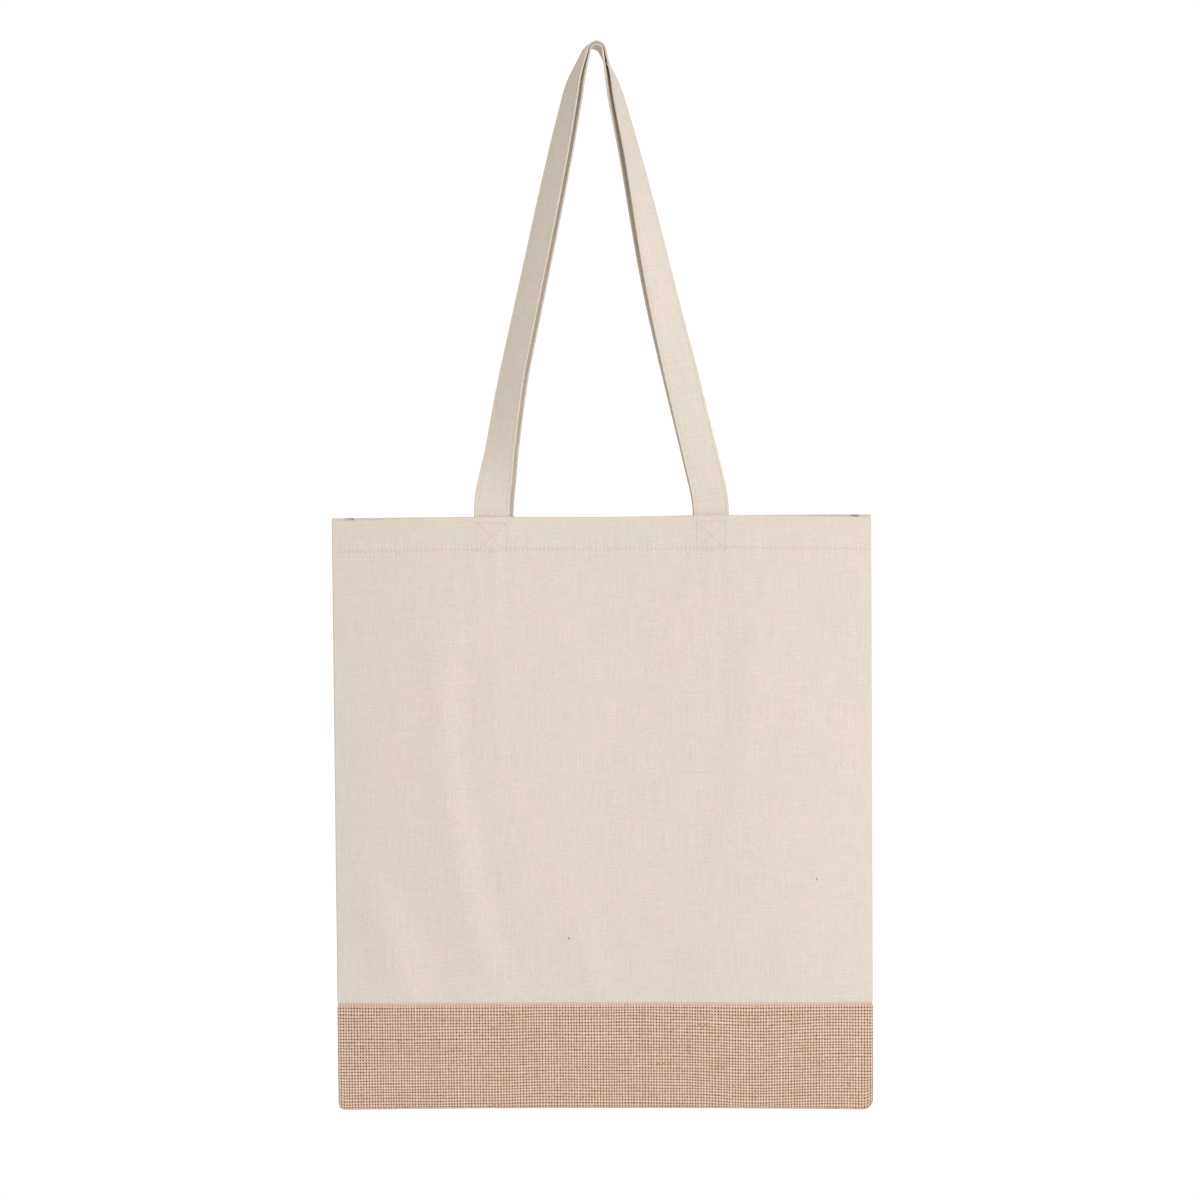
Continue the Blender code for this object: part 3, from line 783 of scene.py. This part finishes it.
def hem_stitches(name):
    u = np.linspace(-FOLD_X + 0.001, FOLD_X - 0.001, 400)
    inside = np.linspace(-HALF_WIDTH + HEM_END + 0.001, HALF_WIDTH - HEM_END - 0.001, 400)
    inner = CANVAS + 2 * HEM_PITCH
    runs = []
    for face in (-1, 1):
        runs.append(wall_run(face, u, HEM_LINE, -0.4 * THREAD_R, 1))
        runs.append(wall_run(face, inside, HEM_LINE, inner + 0.4 * THREAD_R, -1))
    return stitches(name, runs, HEM_STITCH_LENGTH)


def box_path(centre_x):
    """The corners, in sewing order, of a square with a cross in it: (x, up)."""
    half = BOX_SIZE / 2 - 0.0004
    corners = [(-1, -1), (-1, 1), (1, 1), (1, -1), (-1, -1), (1, 1)], [(-1, 1), (1, -1)]
    runs = []
    for chain in corners:
        for a, b in zip(chain, chain[1:]):
            line = np.linspace(a, b, 24) * half
            runs.append((centre_x + line[:, 0], BOX_UP + line[:, 1]))
    return runs


def box_stitches(name, face, side):
    shift = BACK_SHIFT if (face, side) == (1, -1) else 0.0
    inner = MOUTH_HALF - STRAP_Y + STRAP_THICKNESS / 2
    runs = []
    for x, up in box_path(side * STRAP_X + shift):
        runs.append(wall_run(face, x, up, -0.4 * THREAD_R, 1))
        points, normals = wall_run(face, x, up, inner, -1)
        points[:, 1] = face * (STRAP_Y - STRAP_THICKNESS / 2 - 0.4 * THREAD_R)
        runs.append((points, normals))
    return stitches(name, runs, BOX_STITCH)


def band_stitches(name, face):
    u = np.linspace(-HALF_WIDTH + HEM_END + 0.002, HALF_WIDTH - HEM_END - 0.002, 400)
    inner = CANVAS + 0.00035 + JUTE
    return stitches(name, [wall_run(face, u, SEAM + 0.005, inner, -1)], HEM_STITCH_LENGTH)


def overlock(name, side):
    """Thread wrapped round the raw edges of a side seam."""
    tip = HALF_WIDTH - ALLOWANCE
    low = overlock_low.z
    pitch = 0.0022
    count = int((overlock_high.z - low) / pitch)
    over = np.array([(0.0042, 1.02), (0.002, 1.05), (-0.0004, 1.0)])
    wrap = np.concatenate([over, over[::-1] * [1, -1]])
    number = np.arange(count * len(wrap))
    corner = wrap[number % len(wrap)]
    z = low + number / len(wrap) * pitch
    thick = np.where(z < BOTTOM + SEAM + 0.001, 0.00125, 0.00085)
    x = side * (tip + corner[:, 0]) * narrowing(z - BOTTOM)
    line = np.stack([x, thick * corner[:, 1], z], axis=-1)
    steps = np.arange(0, len(line) - 1, 0.5)
    points, faces = thread_tubes(between(steps, np.arange(len(line)), line)[None])
    return new_mesh(name, points, faces, points[:, [0, 2]])


# --- Materials ------------------------------------------------------------------------------------


class Nodes:
    """Short ways to make shader nodes. Each returns an output socket."""

    def __init__(self, name, roughness, sheen):
        self.material = bpy.data.materials.new(name)
        self.material.use_nodes = True
        self.tree = self.material.node_tree
        self.shader = self.tree.nodes["Principled BSDF"]
        self.shader.inputs["Roughness"].default_value = roughness
        self.shader.inputs["Sheen Weight"].default_value = sheen
        self.shader.inputs["Sheen Roughness"].default_value = 0.6
        self.shader.inputs["Specular IOR Level"].default_value = 0.2

    def put(self, value, socket):
        if isinstance(value, bpy.types.NodeSocket):
            self.tree.links.new(value, socket)
        else:
            socket.default_value = value

    def math(self, operation, a, b=0.0, c=0.0):
        node = self.tree.nodes.new("ShaderNodeMath")
        node.operation = operation
        for value, socket in zip((a, b, c), node.inputs):
            self.put(value, socket)
        return node.outputs[0]

    def attribute(self, name):
        node = self.tree.nodes.new("ShaderNodeAttribute")
        node.attribute_name = name
        return node.outputs["Fac"]

    def uv(self):
        node = self.tree.nodes.new("ShaderNodeUVMap")
        node.uv_map = "UVMap"
        split = self.tree.nodes.new("ShaderNodeSeparateXYZ")
        self.tree.links.new(node.outputs[0], split.inputs[0])
        return split.outputs[0], split.outputs[1]

    def node(self, kind, given):
        """A node with the given inputs, by name or number."""
        node = self.tree.nodes.new("ShaderNode" + kind)
        for key, value in given.items():
            self.put(value, node.inputs[key])
        return node

    def stretched(self, u, v, scale_u, scale_v, seed=0.0):
        across, upward = self.math("MULTIPLY", u, scale_u), self.math("MULTIPLY", v, scale_v)
        return self.node("CombineXYZ", {0: across, 1: upward, 2: seed}).outputs[0]

    def noise(self, vector, detail=2.0, roughness=0.5):
        given = {"Vector": vector, "Scale": 1.0, "Detail": detail, "Roughness": roughness}
        return self.node("TexNoise", given).outputs["Fac"]

    def voronoi(self, vector):
        node = self.node("TexVoronoi", {"Vector": vector, "Scale": 1.0})
        split = self.node("SeparateColor", {0: node.outputs["Color"]})
        return node.outputs["Distance"], split.outputs[0]

    def ramp(self, value, low, high, out_low=0.0, out_high=1.0):
        given = {"Value": value, "From Min": low, "From Max": high, "To Min": out_low, "To Max": out_high}
        node = self.node("MapRange", given)
        node.interpolation_type = "SMOOTHSTEP"
        return node.outputs["Result"]

    def mix(self, share, a, b, kind="MIX"):
        node = self.tree.nodes.new("ShaderNodeMix")
        node.data_type = "RGBA"
        node.blend_type = kind
        self.put(share, node.inputs[0])
        for value, socket in zip((a, b), (node.inputs[6], node.inputs[7])):
            self.put(value if isinstance(value, bpy.types.NodeSocket) else (*value, 1), socket)
        return node.outputs[2]

    def tinted(self, share, colour, by):
        """The colour, multiplied by another as far as share says."""
        return self.mix(share, colour, self.mix(1.0, colour, by, "MULTIPLY"))

    def varied(self, shade, noise, amount, middle=0.5):
        """The shade, lighter where the noise is over its middle and darker where it is under."""
        return self.math("MULTIPLY_ADD", self.math("SUBTRACT", noise, middle), amount, shade)

    def shaded(self, colour, value):
        """The colour, made lighter or darker by a value."""
        grey = self.node("CombineColor", {0: value, 1: value, 2: value}).outputs[0]
        return self.mix(1.0, colour, grey, "MULTIPLY")

    def bump(self, height, distance, strength=1.0, after=None):
        given = {"Height": height, "Distance": distance, "Strength": strength}
        if after is not None:
            given["Normal"] = after
        return self.node("Bump", given).outputs[0]

    def finish(self, colour, normal):
        self.tree.links.new(colour, self.shader.inputs["Base Color"])
        self.tree.links.new(normal, self.shader.inputs["Normal"])
        return self.material


def plain_weave(made, u, v, pitch, seed):
    """The relief of a plain weave, 0 between the yarns to 1 on top of them."""
    wobble = made.math("SUBTRACT", made.noise(made.stretched(u, v, 260, 260, seed)), 0.5)
    along = made.math("MULTIPLY_ADD", u, math.pi / pitch, made.math("MULTIPLY", wobble, 2.2))
    upward = made.math("MULTIPLY_ADD", v, math.pi / pitch, made.math("MULTIPLY", wobble, -2.0))
    sin_u, sin_v = made.math("SINE", along), made.math("SINE", upward)
    both = made.math("MULTIPLY", sin_u, sin_v)
    size_u, size_v = made.math("ABSOLUTE", sin_u), made.math("ABSOLUTE", sin_v)
    over = made.math("DIVIDE", both, made.math("ADD", size_u, 0.06))
    under = made.math("DIVIDE", both, made.math("ADD", size_v, 0.06))
    over = made.math("MULTIPLY_ADD", over, 0.42, 0.55)
    under = made.math("MULTIPLY_ADD", under, -0.42, 0.50)
    warp = made.math("MULTIPLY", made.math("POWER", size_u, 0.6), over)
    weft = made.math("MULTIPLY", made.math("POWER", size_v, 0.6), under)
    return made.math("MAXIMUM", warp, weft)


def canvas_material(name, colour, seed, puckers=False):
    """Natural cotton canvas: plain weave, slubs in both directions, cloudy colour and seed flecks."""
    made = Nodes(name, 0.92, 0.12)
    u, v = made.uv()
    weave_height = plain_weave(made, u, v, 0.00055, seed)
    slub_up = made.noise(made.stretched(u, v, 1500, 34, seed + 3), 3)
    slub_across = made.noise(made.stretched(u, v, 30, 1400, seed + 5), 3)
    cloud = made.noise(made.stretched(u, v, 22, 16, seed + 8), 4, 0.6)
    grain = made.noise(made.stretched(u, v, 700, 700, seed + 11), 2)
    mottle = made.noise(made.stretched(u, v, 190, 150, seed + 13), 4, 0.7)
    shade = made.varied(0.985, slub_up, 0.20)
    shade = made.varied(shade, slub_across, 0.15)
    shade = made.varied(shade, cloud, 0.07)
    shade = made.varied(shade, mottle, 0.18)
    shade = made.varied(shade, grain, 0.28)
    # Painted shade between the yarns: darker where the weave's relief is low.
    shade = made.varied(shade, weave_height, 0.22, middle=0.6)
    yellower = tuple(c * k for c, k in zip(colour, (1.0, 0.985, 0.965)))
    pinker = tuple(c * k for c, k in zip(colour, (1.0, 0.965, 0.965)))
    base = made.mix(made.ramp(cloud, 0.3, 0.7), colour, yellower)
    base = made.mix(made.ramp(mottle, 0.45, 0.65, 0.0, 0.6), base, pinker)
    cloth_colour = made.shaded(base, shade)
    for cell, keep, size, strength in ((62, 0.68, 0.046, 0.72), (130, 0.60, 0.060, 0.32)):
        distance, chance = made.voronoi(made.stretched(u, v, cell, cell * 0.55, seed + cell))
        spot = made.ramp(distance, size, size * 0.35)
        fleck = made.math("MULTIPLY", spot, made.math("GREATER_THAN", chance, keep))
        share = made.math("MULTIPLY", fleck, strength)
        cloth_colour = made.mix(share, cloth_colour, (0.20, 0.105, 0.05))
    relief = made.math("MULTIPLY_ADD", slub_up, 0.55, weave_height)
    relief = made.math("MULTIPLY_ADD", slub_across, 0.45, relief)
    normal = made.bump(relief, 0.00013, 0.9)
    if puckers:
        normal = made.bump(pucker(made, u, v), 0.00030, 0.8, after=normal)
    return made.finish(cloth_colour, normal)


def pucker(made, u, v):
    """Small gathers between one stitch and the next, along the hem's row of stitching."""
    away = made.math("ABSOLUTE", made.math("SUBTRACT", v, HEM_LINE))
    near = made.ramp(away, 0.0042, 0.0)
    wave = made.math("SINE", made.math("MULTIPLY", u, 2 * math.pi / HEM_STITCH_LENGTH))
    return made.math("MULTIPLY", near, made.math("MULTIPLY", wave, 0.5))


def jute_material(name):
    """Open-woven jute: light warps with near-black painted shade in the holes between them and painted
    shade where yarns lie low, cloudy, with streaks of bark and seeds.
    """
    made = Nodes(name, 0.95, 0.08)
    u, v = made.uv()
    tint, warm, below = (made.attribute(key) for key in ("yarn_tint", "yarn_warm", "below_seam"))
    fibre = made.noise(made.stretched(u, v, 2600, 900, 1.0), 4, 0.65)
    patch = made.noise(made.stretched(u, v, 75, 95, 4.0), 3, 0.6)
    cloud = made.noise(made.stretched(u, v, 420, 380, 7.0), 2, 0.5)
    gape = made.math("MULTIPLY", made.math("SUBTRACT", cloud, 0.5), 0.55)
    covers = []
    for key, low, high in (("warp_phase", 0.44, 0.80), ("weft_phase", 0.44, 0.78)):
        wave = made.math("ABSOLUTE", made.math("SINE", made.math("MULTIPLY", made.attribute(key), math.pi)))
        covers.append(made.ramp(made.math("ADD", wave, gape), low, high))
    dense = made.ramp(below, 0.0022, 0.0008)
    warp, weft = covers[0], made.math("MAXIMUM", covers[1], dense)
    # Painted shade: darker where a warp dips or a weft lies low, and near black in the holes between the
    # yarns.
    between = made.mix(weft, JUTE_HOLE_SHADE, JUTE_WEFT_SHADED)
    colour = made.mix(warp, between, made.mix(weft, JUTE_DIP_SHADE, JUTE_WARP))
    lightness = made.math("MULTIPLY_ADD", tint, 0.60, 0.70)
    lightness = made.varied(lightness, fibre, 0.40)
    lightness = made.varied(lightness, patch, 0.16)
    colour = made.shaded(colour, lightness)
    colour = made.tinted(made.ramp(patch, 0.52, 0.68, 0.0, 0.75), colour, (1.0, 0.94, 0.93))
    colour = made.tinted(made.ramp(patch, 0.48, 0.32, 0.0, 0.75), colour, (1.0, 0.97, 0.86))
    colour = made.mix(made.math("MULTIPLY", warm, 0.7), colour, (0.56, 0.26, 0.12))
    distance, chance = made.voronoi(made.stretched(u, v, 90, 120, 9.0))
    speck = made.math("MULTIPLY", made.ramp(distance, 0.070, 0.03), made.math("GREATER_THAN", chance, 0.93))
    colour = made.mix(made.math("MULTIPLY", speck, 0.85), colour, (0.055, 0.028, 0.018))
    return made.finish(colour, made.bump(fibre, 0.00022, 0.9))


def jute_inside_material(name):
    """The same cloth where only its plain inner side shows, woven by its relief alone, with painted shade
    darkening the relief's hollows.
    """
    made = Nodes(name, 0.95, 0.10)
    u, v = made.uv()
    height = plain_weave(made, u, v, WARP_PITCH, 2.0)
    fibre = made.noise(made.stretched(u, v, 2600, 900, 6.0), 4, 0.65)
    # Painted shade in the weave's hollows: near black where the relief is low.
    colour = made.mix(made.ramp(height, 0.15, 0.75), (0.10, 0.052, 0.030), (0.46, 0.31, 0.22))
    colour = made.shaded(colour, made.varied(1.0, fibre, 0.4))
    return made.finish(colour, made.bump(height, 0.0004, 0.9))


def thread_material(name):
    """Spun sewing thread, with its twist."""
    made = Nodes(name, 0.75, 0.15)
    u, v = made.uv()
    aslant = made.math("MULTIPLY_ADD", v, 1.4, u)
    twist = made.math("SINE", made.math("MULTIPLY", aslant, 9000))
    fuzz = made.noise(made.stretched(u, v, 3000, 3000, 3.0), 2)
    colour = made.shaded((0.82, 0.735, 0.635), made.varied(1.0, fuzz, 0.18))
    # Painted shade where the thread sinks into its needle holes.
    colour = made.mix(made.math("MULTIPLY", made.attribute("needle_hole_shade"), 0.4), colour, (0.30, 0.22, 0.15))
    return made.finish(colour, made.bump(made.math("ADD", twist, fuzz), 0.00004, 0.7))


# --- Making the bag -------------------------------------------------------------------------------


def dress(piece, material, slot, *nodes):
    piece.data.materials.append(material)
    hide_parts(*nodes)
    return piece


def sew(piece, material, slot, *nodes):
    """Dresses a piece that moves with the bag."""
    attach(dress(piece, material, slot, *nodes), "bag")
    return piece


def make_bag():
    canvas = canvas_material("canvas", CANVAS_CREAM, 0.0, puckers=True)
    strap = canvas_material("handle_canvas", CANVAS_CREAM, 40.0)
    jute, lining = jute_material("jute"), jute_inside_material("jute_inside")
    thread = thread_material("thread")
    hem = sew(hem_stitches("hem_stitching"), thread, "thread", "hem_stitch")
    band = sew(jute_inside("jute_band_inside"), lining, "jute", "jute_band")
    for word, face in (("front", -1), ("back", 1)):
        panel = sew(canvas_panel(f"{word}_canvas", face), canvas, "canvas", f"{word}_canvas_panel")
        sew(weave(f"{word}_jute_weave", face), jute, "jute", "jute_band")
        sew(band_stitches(f"{word}_band_stitching", face), thread, "thread", f"{word}_band_seam_thread")
        make_handle(word, face, strap, thread)
        for hand, side in (("left", -1), ("right", 1)):
            box = box_stitches(f"{word}_{hand}_box_stitching", face, side)
            sew(box, thread, "thread", f"{word}_{hand}_box_stitch")
    for hand, side in (("left", -1), ("right", 1)):
        sew(overlock(f"{hand}_overlock", side), thread, "thread", f"{hand}_overlock_thread")


def make_handle(word, face, strap, thread):
    handle = Handle(face)
    body = f"{word}_handle"
    piece = handle_strap(body, handle)
    nodes = [f"{body}_loop", f"{body}_left_end", f"{body}_right_end"]
    dress(piece, strap, "handle_canvas", *nodes)
    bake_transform(piece)
    rows = handle_stitches(f"{body}_stitching", handle)
    dress(rows, thread, "thread", f"{body}_inner_stitch", f"{body}_outer_stitch")
    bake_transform(rows)


# --- The studio -----------------------------------------------------------------------------------


def make_camera():
    data = bpy.data.cameras.new("camera")
    data.sensor_width = 36
    data.lens = 36 * CAMERA_AWAY / VIEW_SIZE
    data.clip_end = 100
    camera = new_object("camera", data)
    camera.location = Vector(CAMERA_AIM) + Vector((0, -CAMERA_AWAY, 0))
    level = Matrix.Rotation(math.pi / 2, 3, "X")
    camera.rotation_euler = (Matrix.Rotation(CAMERA_ROLL, 3, "Y") @ level).to_euler()
    bpy.context.scene.camera = camera


def area_light(name, place, target, size, watts):
    data = bpy.data.lights.new(name, "AREA")
    data.size = size
    data.energy = watts
    light = new_object(name, data)
    light.location = place
    light.rotation_euler = (Vector(target) - Vector(place)).to_track_quat("-Z", "Y").to_euler()


def make_world(seen, lit):
    """A white studio: what the camera sees behind the bag is whiter than the light that it gives."""
    world = bpy.data.worlds.new("studio")
    world.use_nodes = True
    bpy.context.scene.world = world
    tree = world.node_tree
    background = tree.nodes["Background"]
    path = tree.nodes.new("ShaderNodeLightPath")
    mix = tree.nodes.new("ShaderNodeMix")
    mix.data_type = "RGBA"
    mix.clamp_factor = True
    mix.inputs[6].default_value = (*lit, 1)
    mix.inputs[7].default_value = (seen, seen, seen, 1)
    tree.links.new(path.outputs["Is Camera Ray"], mix.inputs[0])
    tree.links.new(mix.outputs[2], background.inputs[0])


def make_floor():
    angles = np.arange(96) * 2 * np.pi / 96
    points = np.stack([FLOOR_R * np.cos(angles), FLOOR_R * np.sin(angles), np.full(96, FLOOR_Z)], axis=1)
    floor = new_mesh("floor", points, [list(range(96))])
    pale = bpy.data.materials.new("floor")
    pale.use_nodes = True
    pale.node_tree.nodes["Principled BSDF"].inputs["Base Color"].default_value = (0.9, 0.9, 0.9, 1)
    pale.node_tree.nodes["Principled BSDF"].inputs["Roughness"].default_value = 0.8
    floor.data.materials.append(pale)


def make_studio():
    make_camera()
    make_world(seen=1.05, lit=(0.690, 0.643, 0.622))
    make_floor()
    area_light("key", (3.2, -5.2, 1.6), (0, 0, -0.4), 2.4, 168)
    bpy.context.scene.view_settings.view_transform = "Standard"


make_bag()
make_studio()
